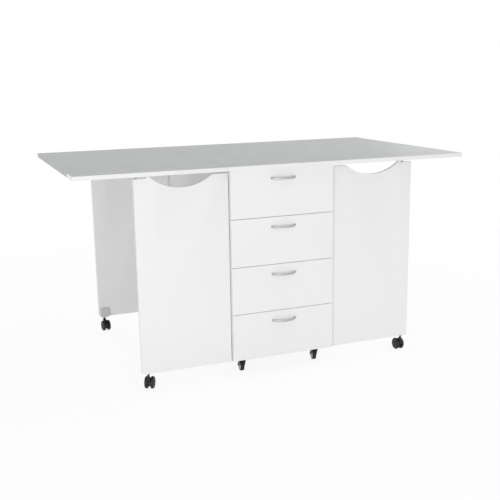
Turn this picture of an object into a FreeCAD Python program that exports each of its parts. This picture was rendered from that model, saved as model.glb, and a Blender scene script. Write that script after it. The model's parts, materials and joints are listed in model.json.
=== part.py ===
import FreeCAD, Part
import math
import os
import re

import Sketcher
from FreeCAD import Placement, Rotation, Vector

# A sewing cutting table: a drawer cabinet on castors under the fixed middle of a top whose two
# leaves are hinged to it. Four gates swing out from the cabinet's sides, roll on castors of their
# own and carry the leaves. Frame: X to the right along the front, Y to the back, Z up, with the
# origin on the floor under the centre. Millimetres and degrees.
DIMENSIONS = (
    ("table_length", 1600, "open top, left to right"),
    ("table_depth", 900, "open top, front to back"),
    ("table_height", 835, "floor to the top's upper face"),
    ("board", 16, "thickness of every laminated board"),
    ("table_corner", 40, "radius of the leaves' outer corners, in plan"),
    ("centre_length", 462, "fixed middle of the top"),
    ("top_joint", 1, "gap between the middle and a leaf"),
    ("cabinet_width", 431, "over the side panels"),
    ("cabinet_depth", 821, "side panels, front edge to back edge"),
    ("cabinet_clearance", 65, "floor to the carcass"),
    ("rail_depth", 60, "rails under the middle of the top"),
    ("fold_notch_reach", 78, "half length of the notch for the folded gates' blocks"),
    ("fold_notch_height", 47, "height of that notch"),
    ("front_width", 429, "drawer front"),
    ("front_height", 184.5, "drawer front"),
    ("front_gap", 3, "between two drawer fronts"),
    ("front_seat", 0.5, "buffer gap behind a closed drawer front"),
    ("lowest_front", 70, "floor to the lowest drawer front"),
    ("box_depth", 550, "drawer box, behind the front"),
    ("box_height", 130, "drawer box sides"),
    ("box_lift", 22, "drawer box above the lower edge of its front"),
    ("box_wall", 12, "drawer box sides and back"),
    ("box_floor", 5, "drawer bottom panel"),
    ("box_floor_lift", 10, "drawer bottom panel above the sides' lower edge"),
    ("runner_space", 12.5, "between the drawer box and the side panel"),
    ("runner_sheet", 1.2, "steel of the runners"),
    ("runner_height", 24, "runner rail"),
    ("runner_play", 0.3, "free height between a rail and a roller"),
    ("roller_radius", 6, "runner roller"),
    ("roller_width", 5, "runner roller"),
    ("handle_centres", 96, "between the handle's screws"),
    ("handle_foot", 8, "width of a foot of the bow"),
    ("handle_reach", 29, "how far the bow stands out"),
    ("handle_thickness", 4.5, "thickness of the bow at its middle"),
    ("handle_width", 10, "height of the bow's strip"),
    ("handle_drop", 37, "upper edge of the front to the handle"),
    ("handle_round", 2, "rounding of the bow's edges"),
    ("gate_length", 359.5, "gate panel, hinge edge to outer edge"),
    ("gate_gap", 3, "side panel to the gate's hinge edge"),
    ("gate_face", 411, "outer face of a gate, from the middle of the table"),
    ("gate_low", 66, "floor to the gate"),
    ("gate_high", 808, "floor to the gate's upper edge"),
    ("gate_foot_corner", 11, "radius of the gate's lower outer corner"),
    ("gate_top_corner", 3, "radius of the gate's upper outer corner"),
    ("scoop_radius", 190, "finger scoop in the gate's upper edge"),
    ("scoop_centre", 957, "height of the scoop's centre"),
    ("land_start", 297.5, "hinge edge to the raised land that carries the leaf"),
    ("land_length", 14, "land"),
    ("land_play", 0.2, "between the land and the leaf"),
    ("block_width", 36, "castor block"),
    ("block_depth", 18, "castor block, out from the gate"),
    ("block_height", 42, "castor block"),
    ("block_round", 3, "rounding of the castor block"),
    ("stop_radius", 4, "gate stop under a leaf"),
    ("stop_length", 12, "gate stop"),
    ("stop_line", 416, "gate stops from the middle of the table"),
    ("near_stop", 532, "nearer stop from the middle of the table"),
    ("far_stop", 572, "farther stop from the middle of the table"),
    ("leaf_hinge_length", 60, "hinge between the middle and a leaf"),
    ("leaf_hinge_pitch", 330, "spacing of those hinges"),
    ("leaf_hinge_plate", 28, "width of a plate"),
    ("leaf_hinge_sheet", 1.5, "thickness of a plate, let in flush"),
    ("leaf_hinge_drop", 4, "pin below the top's lower face"),
    ("leaf_knuckle", 3.6, "radius of the knuckles"),
    ("leaf_pin", 1.5, "radius of the pin"),
    ("gate_hinge_length", 60, "hinge between the side panel and a gate"),
    ("gate_hinge_low", 126, "height of the lower hinge"),
    ("gate_hinge_high", 748, "height of the upper hinge"),
    ("gate_hinge_plate", 22, "width of a plate beside the knuckles"),
    ("gate_hinge_sheet", 1.1, "thickness of a plate, laid on"),
    ("gate_pin_out", 1.5, "pin out from the side panel"),
    ("gate_pin_in", 1, "pin behind the gate's inner face"),
    ("gate_knuckle", 2.5, "radius of the knuckles"),
    ("gate_pin", 1, "radius of the pin"),
    ("knuckle_play", 0.3, "clearance round the knuckles and between them"),
    ("pin_play", 0.05, "radial clearance of a pin or axle"),
    ("pin_head", 0.8, "thickness of a pin's heads"),
    ("wheel_radius", 25, "wheel of a cabinet castor"),
    ("twin_radius", 24, "twin wheels of a gate castor"),
    ("axle_radius", 3, "every castor axle"),
    ("stem_place", 334.5, "hinge edge to a gate castor's stem"),
    ("gate_trail", 17, "gate castor: stem to axle"),
    ("twin_inner", 6, "twin wheels: inner face from the middle"),
    ("twin_width", 11.5, "width of one twin wheel"),
    ("twin_shoulder", 5, "rounding of a twin wheel's outer edge"),
    ("web_width", 10.6, "housing between the twin wheels"),
    ("web_radius", 16, "housing round the axle"),
    ("boss_reach", 6, "housing in front of and behind the stem"),
    ("boss_low", 30, "floor to the housing under the stem"),
    ("boss_high", 48, "floor to the housing's upper edge at the stem"),
    ("neck_radius", 8, "collar of the housing round the stem"),
    ("neck_low", 43.5, "floor to the foot of that collar"),
    ("neck_top", 52, "floor to its upper end"),
    ("stem_radius", 4, "castor stem"),
    ("stem_low", 32, "floor to the stem's lower end"),
    ("stem_top", 98, "floor to the socket's upper end"),
    ("socket_radius", 5.5, "plastic socket of the stem"),
    ("socket_flange", 7.5, "radius of the socket's flange"),
    ("socket_flange_height", 2.5, "thickness of the socket's flange"),
    ("fork_trail", 21, "cabinet castor: king pin to axle"),
    ("castor_side", 160, "king pins from the middle, sideways"),
    ("castor_reach", 374, "king pins from the middle, front to back"),
    ("plate_width", 60, "square top plate"),
    ("plate_sheet", 3, "thickness of the top plate"),
    ("plate_corner", 6, "radius of its corners"),
    ("king_radius", 4, "king pin"),
    ("fork_head", 20, "radius of the swivel head"),
    ("fork_head_low", 55.5, "floor to the swivel head"),
    ("fork_head_high", 61.5, "floor to its upper face"),
    ("fork_width", 26, "over the fork's legs"),
    ("fork_sheet", 2.5, "thickness of a leg"),
    ("fork_eye", 6.5, "radius of a leg round the axle"),
    ("tyre_width", 16, "cabinet castor wheel"),
    ("tyre_seat", 21.5, "radius of the core under the tyre"),
    ("tyre_shoulder", 3, "rounding of the tyre"),
    ("core_hub", 7, "radius of the core's hub"),
    ("core_web", 12, "thickness of the core between hub and rim"),
)
ALIASES = {alias for alias, number, meaning in DIMENSIONS}
SIDES = (("left", -1), ("right", 1))
ENDS = (("front", -1), ("rear", 1))
DRAWERS = 4
# Which way each castor trails at rest, in degrees from +X. The table was last pushed forward, and
# the rear left gate was drawn out after that.
GATE_CASTOR_TURN = {"front_left": 62, "front_right": 89, "rear_left": 276, "rear_right": 80}
CABINET_CASTOR_TURN = {"front_left": 81.5, "front_right": 77.6, "rear_left": 80, "rear_right": 79}

doc = FreeCAD.newDocument("CuttingTable")
sheet = doc.addObject("Spreadsheet::Sheet", "Size")
NODES = []


def fill_sheet():
    """Write the driving dimensions into the sheet and name each cell."""
    for row, (alias, number, meaning) in enumerate(DIMENSIONS, start=1):
        sheet.set("A%d" % row, str(number))
        sheet.setAlias("A%d" % row, alias)
        sheet.set("B%d" % row, meaning)
    doc.recompute()


def formula(text):
    """Point the words of a formula at the sheet: board becomes Size.board."""
    return re.sub(r"[a-z_]+", lambda word: "Size." + word[0] if word[0] in ALIASES else word[0], text)


def value(text):
    """Work a formula out on the sheet, as a plain number."""
    return float(sheet.evalExpression(formula(text)))


def bind(feature, **formulas):
    """Bind properties of a feature to formulas of the sheet."""
    for name, text in formulas.items():
        feature.setExpression(name, formula(text))
    return feature


def place(feature, x="0", y="0", z="0"):
    """Bind a feature's position."""
    for axis, text in (("x", x), ("y", y), ("z", z)):
        feature.setExpression("Placement.Base." + axis, formula(text))
    return feature


def block(name, x, y, z):
    """A box between two corners; x, y and z are pairs of formulas, low and high."""
    box = doc.addObject("Part::Box", name)
    for side, (low, high) in (("Length", x), ("Width", y), ("Height", z)):
        box.setExpression(side, formula("(%s) - (%s)" % (high, low)))
    return place(box, x[0], y[0], z[0])


def rod(name, radius, length, x="0", y="0", z="0", along="z"):
    """A cylinder that starts at a point and runs along an axis."""
    cylinder = doc.addObject("Part::Cylinder", name)
    turns = {"x": Rotation(Vector(0, 1, 0), 90), "y": Rotation(Vector(1, 0, 0), -90), "z": Rotation()}
    cylinder.Placement = Placement(Vector(), turns[along])
    bind(cylinder, Radius=radius, Height=length)
    return place(cylinder, x, y, z)


def together(name, *parts):
    """Separate solids kept side by side in one object."""
    group = doc.addObject("Part::Compound", name)
    group.Links = list(parts)
    return group


def fused(name, *parts):
    """Solids made one."""
    union = doc.addObject("Part::MultiFuse", name)
    union.Shapes = list(parts)
    union.Refine = True
    return union


def cut(name, base, *tools):
    """A solid with others taken away."""
    result = doc.addObject("Part::Cut", name)
    result.Base = base
    result.Tool = tools[0] if len(tools) == 1 else together(name + "_tools", *tools)
    return result


def mirrored(name, source, normal):
    """A mirror image across a plane through the origin."""
    image = doc.addObject("Part::Mirroring", name)
    image.Source = source
    image.Normal = normal
    return image


def node(label, *parts):
    """Name a finished sub-part; several solids, or a shared one, are gathered in a compound."""
    piece = together("node_" + label, *parts)
    piece.Label = label
    NODES.append(piece)
    return piece


def new_body(name):
    """An empty body with an origin of its own."""
    return doc.addObject("PartDesign::Body", name)


def sketch_on(body, name, role, offset="0"):
    """An empty sketch on one of the body's origin planes, moved along the plane's normal."""
    sketch = body.newObject("Sketcher::SketchObject", name)
    plane = next(item for item in body.Origin.OriginFeatures if item.Role == role)
    sketch.AttachmentSupport = [(plane, "")]
    sketch.MapMode = "FlatFace"
    sketch.setExpression("AttachmentOffset.Base.z", formula(offset))
    return sketch


def hold(sketch, kind, where, text):
    """Add one dimension to a sketch and bind it to the sheet."""
    index = sketch.addConstraint(Sketcher.Constraint(kind, *where, value(text)))
    sketch.setExpression("Constraints[%d]" % index, formula(text))


def hold_point(sketch, edge, end, point):
    """Dimension one point of a sketch from its origin."""
    hold(sketch, "DistanceX", (-1, 1, edge, end), point[0])
    hold(sketch, "DistanceY", (-1, 1, edge, end), point[1])


def circle(sketch, point, radius):
    """A circle at a point."""
    centre = Vector(value(point[0]), value(point[1]), 0)
    index = sketch.addGeometry(Part.Circle(centre, Vector(0, 0, 1), value(radius)), False)
    hold_point(sketch, index, 3, point)
    hold(sketch, "Radius", (index,), radius)


def outline(sketch, points):
    """A closed outline through points, given as pairs of formulas.

    A third item bows the edge from that point to the next: the arc's radius, positive where the
    arc bulges to the left of the way from one point to the next.
    """
    places = [Vector(value(point[0]), value(point[1]), 0) for point in points]
    edges = []
    for number, point in enumerate(points):
        start, end = places[number], places[(number + 1) % len(points)]
        shape = bowed(start, end, value(point[2])) if len(point) == 3 else Part.LineSegment(start, end)
        edges.append(sketch.addGeometry(shape, False))
    for number, (edge, point) in enumerate(zip(edges, points)):
        first = starts_at(sketch, edge, places[number])
        last = 3 - starts_at(sketch, edges[number - 1], places[number - 1])
        sketch.addConstraint(Sketcher.Constraint("Coincident", edges[number - 1], last, edge, first))
        hold_point(sketch, edge, first, point)
        if len(point) == 3:
            hold(sketch, "Radius", (edge,), "abs(%s)" % point[2])


def starts_at(sketch, edge, point):
    """Which end of a sketch edge, 1 or 2, lies at a point."""
    return 1 if sketch.getPoint(edge, 1).distanceToPoint(point) < 0.001 else 2


def bowed(start, end, radius):
    """The arc between two points that bulges to the left for a positive radius."""
    half = (end - start) / 2
    side = Vector(-half.y, half.x, 0).normalize() * math.copysign(1, radius)
    rise = abs(radius) - math.sqrt(radius * radius - half.Length * half.Length)
    return Part.Arc(start, start + half + side * rise, end)


def pad(body, sketch, length, both_ways=False, backwards=False):
    """Thicken a sketch into solid."""
    feature = body.newObject("PartDesign::Pad", sketch.Name + "_pad")
    return extrude(feature, sketch, length, both_ways, backwards)


def pocket(body, sketch, length, both_ways=False, backwards=False):
    """Cut a sketch into the solid and make sure that something was cut."""
    doc.recompute()
    before = body.Shape.Volume
    feature = body.newObject("PartDesign::Pocket", sketch.Name + "_pocket")
    extrude(feature, sketch, length, both_ways, backwards)
    doc.recompute()
    if body.Shape.Volume > before - 0.01:
        raise RuntimeError("%s cuts nothing" % feature.Name)
    return feature


def extrude(feature, sketch, length, both_ways, backwards):
    """Give a pad or a pocket its sketch, its length and its side."""
    feature.Profile = sketch
    feature.SideType = "Symmetric" if both_ways else "One side"
    feature.Reversed = backwards
    return bind(feature, Length=length)


def turn(body, sketch, axis="V_Axis"):
    """Turn a sketch about one of its own axes."""
    feature = body.newObject("PartDesign::Revolution", sketch.Name + "_turn")
    feature.Profile = sketch
    feature.ReferenceAxis = (sketch, [axis])
    return feature


def round_edges(body, radius, chosen):
    """Round the edges of the body that a test on their middle and direction picks."""
    doc.recompute()
    base = body.Tip
    names = []
    for number, edge in enumerate(base.Shape.Edges, start=1):
        middle = edge.valueAt((edge.FirstParameter + edge.LastParameter) / 2)
        if chosen(edge, middle):
            names.append("Edge%d" % number)
    feature = body.newObject("PartDesign::Fillet", body.Name + "_round")
    feature.Base = (base, names)
    return bind(feature, Radius=radius)


def along_axis(edge, axis):
    """True for a straight edge that runs along X, Y or Z: 0, 1 or 2."""
    if edge.Curve.TypeId != "Part::GeomLine":
        return False
    return abs(abs(edge.Curve.Direction[axis]) - 1) < 0.001


# ---------------------------------------------------------------- cabinet

SIDE_OUT = "cabinet_width / 2"
SIDE_IN = "cabinet_width / 2 - board"
BACK = "cabinet_depth / 2"
UNDER_TOP = "table_height - board"
GATE_IN = "gate_face - board"
PIN_X = "cabinet_width / 2 + gate_pin_out"
PIN_Y = "gate_face - board - gate_pin_in"
GATE_HINGES = ("gate_hinge_low", "gate_hinge_high")


def side_panels():
    """The two upright boards, notched below and let out for the gates' knuckles."""
    panel = block("side_board", (SIDE_IN, SIDE_OUT), ("-" + BACK, BACK), ("cabinet_clearance", UNDER_TOP))
    notch = block("fold_notch", (SIDE_IN + " - 1", SIDE_OUT + " + 1"),
                  ("-fold_notch_reach", "fold_notch_reach"),
                  ("cabinet_clearance - 1", "cabinet_clearance + fold_notch_height"))
    reliefs = []
    for end, toward in ENDS:
        for height in GATE_HINGES:
            reliefs.append(rod("relief_%s_%s" % (end, height), "gate_knuckle + knuckle_play",
                               "gate_hinge_length + 4", PIN_X, "%d * (%s)" % (toward, PIN_Y),
                               "%s - gate_hinge_length / 2 - 2" % height))
    right = cut("side_panel", panel, notch, *reliefs)
    node("side_panel_right", right)
    node("side_panel_left", mirrored("side_panel_mirror", right, Vector(1, 0, 0)))


def carcass():
    """Bottom, back and the two rails that tie the side panels together."""
    across = ("-(%s)" % SIDE_IN, SIDE_IN)
    low = "cabinet_clearance"
    node("bottom_panel", block("bottom", across, ("-" + BACK, BACK), (low, low + " + board")))
    node("back_panel", block("back", across, (BACK + " - board", BACK), (low + " + board", UNDER_TOP)))
    rails = []
    height = (UNDER_TOP + " - board", UNDER_TOP)
    for name, start in (("front_rail", "-" + BACK), ("rear_rail", BACK + " - board - rail_depth")):
        rails.append(block(name, across, (start, start + " + rail_depth"), height))
    node("top_rails", *rails)


# ---------------------------------------------------------------- top and its hinges

HINGE_X = "centre_length / 2 + top_joint / 2"
HINGE_Z = "table_height - board - leaf_hinge_drop"
LEAF_IN = "centre_length / 2 + top_joint"
LEAF_HINGES = (-1, 0, 1)


def hinge_seats(body, near, far, name):
    """Shallow pockets in a board's lower face for the hinge plates on one side."""
    seats = sketch_on(body, name, "XY_Plane", UNDER_TOP)
    for number in LEAF_HINGES:
        start = "%d * leaf_hinge_pitch - leaf_hinge_length / 2" % number
        end = "%d * leaf_hinge_pitch + leaf_hinge_length / 2" % number
        outline(seats, ((near, start), (far, start), (far, end), (near, end)))
    pocket(body, seats, "leaf_hinge_sheet", backwards=True)


def centre_top():
    """The fixed middle of the top."""
    body = new_body("centre_board")
    plan = sketch_on(body, "centre_plan", "XY_Plane", UNDER_TOP)
    half, deep = "centre_length / 2", "table_depth / 2"
    outline(plan, (("-" + half, "-" + deep), (half, "-" + deep), (half, deep), ("-" + half, deep)))
    pad(body, plan, "board")
    hinge_seats(body, half + " - leaf_hinge_plate", half, "right_seats")
    hinge_seats(body, "-(%s)" % half, "-(%s) + leaf_hinge_plate" % half, "left_seats")
    node("centre_top", body)


def leaves():
    """The two hinged leaves, round at their outer corners."""
    body = new_body("leaf_board")
    plan = sketch_on(body, "leaf_plan", "XY_Plane", UNDER_TOP)
    far, deep = "table_length / 2", "table_depth / 2"
    outline(plan, ((LEAF_IN, "-" + deep), (far, "-" + deep), (far, deep), (LEAF_IN, deep)))
    pad(body, plan, "board")
    edge_of_table = value(far)
    round_edges(body, "table_corner",
                lambda edge, middle: along_axis(edge, 2) and abs(middle.x - edge_of_table) < 0.1)
    hinge_seats(body, LEAF_IN, LEAF_IN + " + leaf_hinge_plate", "leaf_seats")
    node("leaf_right", body)
    node("leaf_left", mirrored("leaf_mirror", body, Vector(1, 0, 0)))


def knuckle_spans(length, count, wanted):
    """Start and length of the wanted knuckles of a hinge, from its middle, as formulas."""
    spans = []
    for number in wanted:
        start = "(-%s / 2 + %d * %s / %d + knuckle_play / 2)" % (length, number, length, count)
        spans.append((start, "(%s / %d - knuckle_play)" % (length, count)))
    return spans


def leaf_hinge_half(name, plate, wanted, toward):
    """One half of a leaf hinge about Y: plate, bends and bored knuckles, at the middle hinge."""
    near = "%s + %d * top_joint / 2" % (HINGE_X, toward)
    far = "%s + %d * (top_joint / 2 + leaf_hinge_plate)" % (HINGE_X, toward)
    bend = "%s + %d * (top_joint / 2 + leaf_knuckle)" % (HINGE_X, toward)
    half = "leaf_hinge_length / 2"
    low, high = (near, far) if toward > 0 else (far, near)
    metal = [block(plate, (low, high), ("-" + half, half), (UNDER_TOP, UNDER_TOP + " + leaf_hinge_sheet"))]
    low, high = (near, bend) if toward > 0 else (bend, near)
    for number, (start, length) in enumerate(knuckle_spans("leaf_hinge_length", 5, wanted)):
        metal.append(block("%s_bend_%d" % (name, number), (low, high), (start, "%s + %s" % (start, length)),
                           (HINGE_Z, UNDER_TOP + " + leaf_hinge_sheet / 2")))
        metal.append(rod("%s_knuckle_%d" % (name, number), "leaf_knuckle", length,
                         HINGE_X, start, HINGE_Z, along="y"))
    bore = rod(name + "_bore", "leaf_pin + pin_play", "leaf_hinge_length + 2",
               HINGE_X, "-%s - 1" % half, HINGE_Z, along="y")
    return cut(name, fused(name + "_metal", *metal), bore)


def headed_pin(name, radius, head, length, x, y, z, along):
    """A pin with a round head at each end; it starts at its shank's lower end."""
    shift = {"x": x, "y": y, "z": z}
    low_head = dict(shift, **{along: "%s - pin_head" % shift[along]})
    high_head = dict(shift, **{along: "%s + %s" % (shift[along], length)})
    return fused(name, rod(name + "_shank", radius, length, along=along, **shift),
                 rod(name + "_low_head", head, "pin_head", along=along, **low_head),
                 rod(name + "_high_head", head, "pin_head", along=along, **high_head))


def leaf_hinges():
    """Three hinges on each side; the middle's plates and the pins stay with the cabinet."""
    fixed = leaf_hinge_half("leaf_hinge_fixed", "leaf_hinge_fixed_plate", (0, 2, 4), -1)
    moving = leaf_hinge_half("leaf_hinge_moving", "leaf_hinge_moving_plate", (1, 3), 1)
    shank = "(leaf_hinge_length - knuckle_play)"
    pin = headed_pin("leaf_hinge_pin", "leaf_pin", "leaf_knuckle", shank,
                     HINGE_X, "-%s / 2" % shank, HINGE_Z, "y")
    fixed_set = together("leaf_hinge_fixed_set", fixed, pin)
    right_fixed, right_moving = [], []
    for number in LEAF_HINGES:
        for source, row in ((fixed_set, right_fixed), (moving, right_moving)):
            copy = together("%s_%d" % (source.Name, number + 1), source)
            row.append(place(copy, y="%d * leaf_hinge_pitch" % number))
    right_half = together("leaf_hinges_fixed_right", *right_fixed)
    left_half = mirrored("leaf_hinges_fixed_left", right_half, Vector(1, 0, 0))
    node("leaf_hinge_fixed_plates", right_half, left_half)
    right_plates = node("leaf_hinge_plates_right", *right_moving)
    node("leaf_hinge_plates_left", mirrored("leaf_hinges_moving_left", right_plates, Vector(1, 0, 0)))


def gate_stops():
    """Two pegs under each leaf that the open gates rest against; a leaf fits either side."""
    for side, toward in SIDES:
        pegs = []
        for end, facing in ENDS:
            line = "far_stop" if toward * facing > 0 else "near_stop"
            pegs.append(rod("stop_%s_%s" % (end, side), "stop_radius", "stop_length",
                            "%d * %s" % (toward, line), "%d * stop_line" % facing,
                            UNDER_TOP + " - stop_length"))
        node("gate_stops_" + side, *pegs)


# ---------------------------------------------------------------- gates

GATE_EDGE = "cabinet_width / 2 + gate_gap"
STEM_X = "cabinet_width / 2 + gate_gap + stem_place"
STEM_Y = "gate_face - board / 2"


def gate_panel():
    """The front right gate: scooped above, with a raised land, bored below for the castor."""
    body = new_body("gate_board")
    side = sketch_on(body, "gate_side", "XZ_Plane", "gate_face")
    far = GATE_EDGE + " + gate_length"
    land = UNDER_TOP + " - land_play"
    land_in = GATE_EDGE + " + land_start"
    land_out = land_in + " + land_length"
    outline(side, ((GATE_EDGE, "gate_low"), (far, "gate_low"), (far, "gate_high"), (land_out, "gate_high"),
                   (land_out, land), (land_in, land), (land_in, "gate_high"), (GATE_EDGE, "gate_high")))
    pad(body, side, "board", backwards=True)
    scoop = sketch_on(body, "gate_scoop", "XZ_Plane", "gate_face")
    circle(scoop, (GATE_EDGE + " + gate_length / 2", "scoop_centre"), "scoop_radius")
    pocket(body, scoop, "board")
    outer = value(far)
    for corner, height in (("gate_foot_corner", "gate_low"), ("gate_top_corner", "gate_high")):
        level = value(height)
        round_edges(body, corner, lambda edge, middle: along_axis(edge, 1)
                    and abs(middle.x - outer) < 0.1 and abs(middle.z - level) < 0.1)
    bore = sketch_on(body, "gate_bore", "XY_Plane", "gate_low")
    circle(bore, (STEM_X, "-(%s)" % STEM_Y), "socket_radius")
    pocket(body, bore, "stem_top - gate_low + 2", backwards=True)
    reliefs = []
    for height in GATE_HINGES:
        reliefs.append(rod("gate_relief_" + height, "gate_knuckle + knuckle_play", "gate_hinge_length + 4",
                           PIN_X, "-(%s)" % PIN_Y, "%s - gate_hinge_length / 2 - 2" % height))
    return cut("gate_panel", body, *reliefs)


def castor_block():
    """The block behind the castor's stem, and the plastic socket that lines the gate's bore."""
    body = new_body("block_board")
    plan = sketch_on(body, "block_plan", "XY_Plane", "gate_low")
    near, far = STEM_X + " - block_width / 2", STEM_X + " + block_width / 2"
    face = "-(%s)" % GATE_IN
    back = "%s + block_depth" % face
    outline(plan, ((near, face), (far, face), (far, back), (near, back)))
    pad(body, plan, "block_height")
    inside = value(back)
    round_edges(body, "block_round",
                lambda edge, middle: along_axis(edge, 2) and abs(middle.y - inside) < 0.1)
    centre = (STEM_X, "-(%s)" % STEM_Y)
    shank = rod("socket_shank", "socket_radius", "stem_top - gate_low", *centre, "gate_low")
    collar = rod("socket_collar", "socket_flange", "socket_flange_height", *centre,
                 "gate_low - socket_flange_height")
    tube = fused("socket_tube", shank, collar)
    bore = rod("socket_bore", "stem_radius + pin_play", "stem_top", *centre)
    return together("block_set", body, cut("stem_socket", tube, bore))


def gate_hinge_half(name, plate_x, plate_y, tongue_x, tongue_y, wanted):
    """One half of a gate hinge about Z, at height 0: plate, tongues and bored knuckles."""
    half = "gate_hinge_length / 2"
    metal = [block(name + "_plate", plate_x, plate_y, ("-" + half, half))]
    for number, (start, length) in enumerate(knuckle_spans("gate_hinge_length", 3, wanted)):
        span = (start, "%s + %s" % (start, length))
        metal.append(block("%s_tongue_%d" % (name, number), tongue_x, tongue_y, span))
        metal.append(rod("%s_knuckle_%d" % (name, number), "gate_knuckle", length,
                         PIN_X, "-(%s)" % PIN_Y, start))
    bore = rod(name + "_bore", "gate_pin + pin_play", "gate_hinge_length + 2",
               PIN_X, "-(%s)" % PIN_Y, "-%s - 1" % half)
    return cut(name, fused(name + "_metal", *metal), bore)


def gate_hinges():
    """The front right gate's two hinges, as the fixed set with its pins and the moving set."""
    pin_y, face = "-(%s)" % PIN_Y, "-(%s)" % GATE_IN
    clear_y = "%s + gate_knuckle + knuckle_play" % pin_y
    clear_x = "%s + gate_knuckle + knuckle_play" % PIN_X
    sheet_x = (SIDE_OUT, SIDE_OUT + " + gate_hinge_sheet")
    sheet_y = (face, face + " + gate_hinge_sheet")
    fixed = gate_hinge_half("gate_hinge_fixed", sheet_x, (clear_y, clear_y + " + gate_hinge_plate"),
                            sheet_x, (pin_y, clear_y), (0, 2))
    moving = gate_hinge_half("gate_hinge_moving", (clear_x, clear_x + " + gate_hinge_plate"), sheet_y,
                             (PIN_X, clear_x), sheet_y, (1,))
    shank = "(gate_hinge_length - knuckle_play)"
    pin = headed_pin("gate_hinge_pin", "gate_pin", "gate_knuckle", shank,
                     PIN_X, pin_y, "-%s / 2" % shank, "z")
    fixed_row, moving_row = [], []
    for height in GATE_HINGES:
        for row, parts in ((fixed_row, (fixed, pin)), (moving_row, (moving,))):
            copy = together("hinge_%s_%d" % (height, len(parts)), *parts)
            row.append(place(copy, z=height))
    return together("gate_hinges_fixed", *fixed_row), together("gate_hinges_moving", *moving_row)


def four_corners(name, source):
    """A piece of the front right corner and its three mirror images, with each corner's name."""
    front_left = mirrored(name + "_front_left", source, Vector(1, 0, 0))
    rear_right = mirrored(name + "_rear_right", source, Vector(0, 1, 0))
    rear_left = mirrored(name + "_rear_left", front_left, Vector(0, 1, 0))
    return {"front_right": source, "front_left": front_left,
            "rear_right": rear_right, "rear_left": rear_left}


def gates():
    """Four gates with their castor blocks and hinges."""
    fixed, moving = gate_hinges()
    pieces = (("gate", gate_panel()), ("gate_block", castor_block()), ("gate_hinge_leaves", moving))
    for label, source in pieces:
        for corner, piece in four_corners(label + "_shape", source).items():
            node("%s_%s" % (label, corner), piece)
    node("gate_hinge_fixed_leaves", *four_corners("gate_hinges_fixed", fixed).values())


# ---------------------------------------------------------------- castors

AXLE_HEIGHT = "wheel_radius"
TWIN_HEIGHT = "twin_radius"


def wheel_body(name, points):
    """A round body turned about Y from its half section; points are radius and place along Y."""
    body = new_body(name)
    section = sketch_on(body, name + "_section", "XY_Plane")
    outline(section, points)
    turn(body, section)
    return body


def twin_wheels():
    """The left and right wheel of a gate castor and the axle that joins them."""
    inner, outer = "twin_inner", "twin_inner + twin_width"
    wheel = wheel_body("twin_wheel", (
        ("axle_radius", inner), ("twin_radius - 2.5", inner, "-2.5"), ("twin_radius", inner + " + 2.5"),
        ("twin_radius", outer + " - twin_shoulder", "-twin_shoulder"),
        ("twin_radius - twin_shoulder", outer), ("twin_radius - twin_shoulder - 1.5", outer),
        ("twin_radius - twin_shoulder - 2.5", outer + " - 1.5"), ("core_hub + 1", outer + " - 1.5"),
        ("core_hub", outer + " - 0.5"), ("axle_radius", outer + " - 0.5")))
    axle = rod("twin_axle", "axle_radius", "2 * (%s) - 1" % outer, "0", "0.5 - (%s)" % outer, along="y")
    pair = together("twin_pair", wheel, mirrored("twin_wheel_mirror", wheel, Vector(0, 1, 0)), axle)
    return place(pair, "gate_trail", "0", TWIN_HEIGHT)


def twin_housing():
    """The housing of a gate castor: a web between the wheels, and a collar round the stem."""
    body = new_body("castor_housing")
    web = sketch_on(body, "web_side", "XZ_Plane")
    outline(web, (
        ("-boss_reach", "boss_low"), ("-boss_reach", "boss_high"), ("boss_reach", "boss_high"),
        ("gate_trail + 0.174 * web_radius", TWIN_HEIGHT + " + 0.985 * web_radius", "web_radius"),
        ("gate_trail + web_radius", TWIN_HEIGHT, "web_radius"),
        ("gate_trail - 0.342 * web_radius", TWIN_HEIGHT + " - 0.94 * web_radius")))
    pad(body, web, "web_width", both_ways=True)
    neck = sketch_on(body, "neck_section", "XZ_Plane")
    outline(neck, (("0", "neck_low"), ("web_width / 2", "neck_low"), ("neck_radius", "neck_top - 3.5"),
                   ("neck_radius", "neck_top"), ("0", "neck_top")))
    turn(body, neck)
    eye = sketch_on(body, "housing_eye", "XZ_Plane")
    circle(eye, ("gate_trail", TWIN_HEIGHT), "axle_radius + pin_play")
    pocket(body, eye, "web_width + 2", both_ways=True)
    bore = sketch_on(body, "housing_bore", "XY_Plane", "stem_low")
    circle(bore, ("0", "0"), "stem_radius")
    pocket(body, bore, "neck_top - stem_low + 1", backwards=True)
    stem = rod("castor_stem", "stem_radius", "stem_top - 0.5 - stem_low", z="stem_low")
    return together("castor_housing_set", body, stem)


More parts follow.
